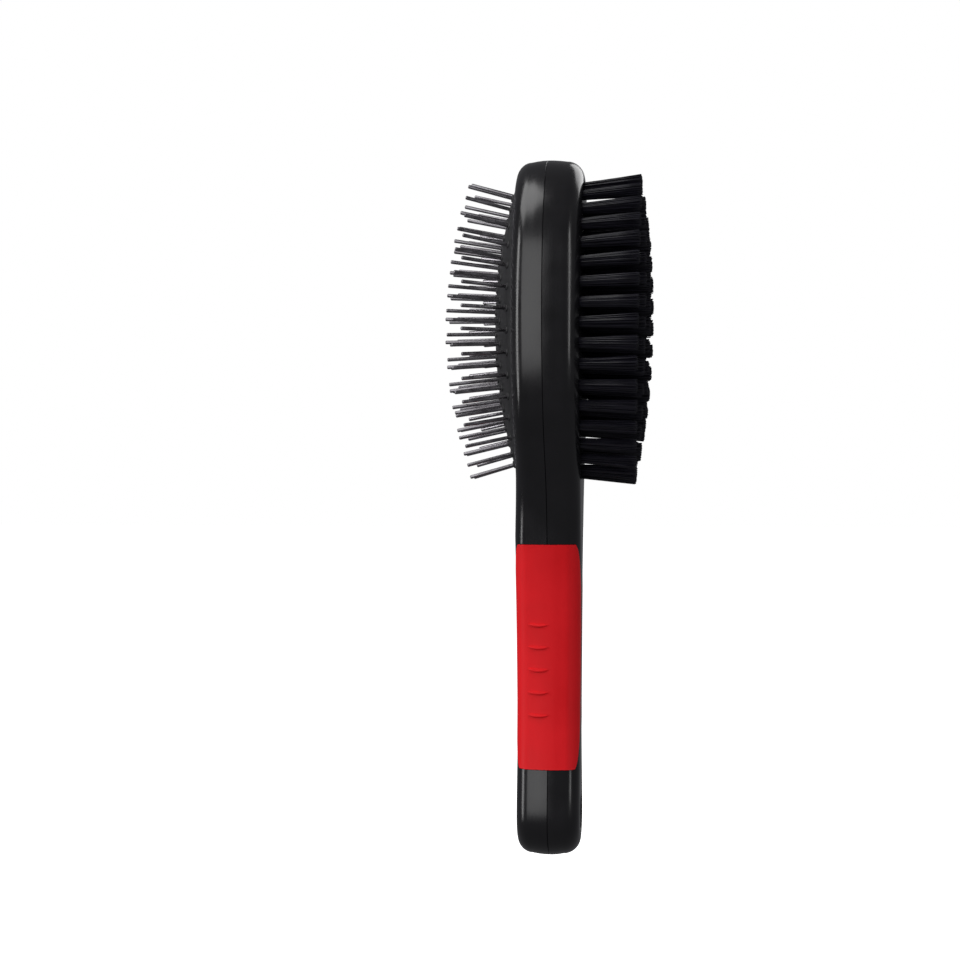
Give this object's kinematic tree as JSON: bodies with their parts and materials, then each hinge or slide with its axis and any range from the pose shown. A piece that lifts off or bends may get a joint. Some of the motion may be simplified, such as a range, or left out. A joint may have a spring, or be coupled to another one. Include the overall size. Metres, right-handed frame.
{
  "type": "double-sided pet brush",
  "caption": "Double-sided pet grooming brush: nylon bristle tufts on one face, metal pins in a rubber cushion on the other, handle with soft grips and a hanging hole.",
  "frame": {"origin": "centre of the bounding box, on the parting plane between the two half shells", "axes": "+Z along the handle towards the head's tip, +X out of the bristle side, -X out of the pin side, Y across the width"},
  "size_m": [0.0675, 0.0648, 0.225],
  "materials": {
    "shell": "satin black",
    "grip": "matt red",
    "cushion": "matt black",
    "pins": "bright drawn wire",
    "tufts": "black nylon"
  },
  "bodies": {
    "brush_body": {"bristle_side_shell": "shell", "pin_side_shell": "shell", "grip_left": "grip", "grip_right": "grip", "pin_cushion": "cushion", "tufts_ring_1_a": "tufts", "tufts_ring_1_b": "tufts", "tufts_ring_1_c": "tufts", "tufts_ring_1_d": "tufts", "tufts_ring_2_a": "tufts", "tufts_ring_2_b": "tufts", "tufts_ring_2_c": "tufts", "tufts_ring_2_d": "tufts", "tufts_ring_3_a": "tufts", "tufts_ring_3_b": "tufts", "tufts_ring_4_a": "tufts", "tufts_ring_4_b": "tufts"},
    "pin_field": {"pins_ring_1_a": "pins", "pins_ring_1_b": "pins", "pins_ring_1_c": "pins", "pins_ring_1_d": "pins", "pins_ring_2_a": "pins", "pins_ring_2_b": "pins", "pins_ring_2_c": "pins", "pins_ring_2_d": "pins", "pins_ring_3_a": "pins", "pins_ring_3_b": "pins", "pins_ring_4_a": "pins", "pins_ring_4_b": "pins"}
  },
  "joints": [
    {"name": "cushion_press", "type": "slide", "parent": "brush_body", "child": "pin_field", "axis": [1, 0, 0], "range_m": [0, 0.0025], "stiffness_N_per_m": 2000, "deforming": ["pin_cushion"]}
  ]
}
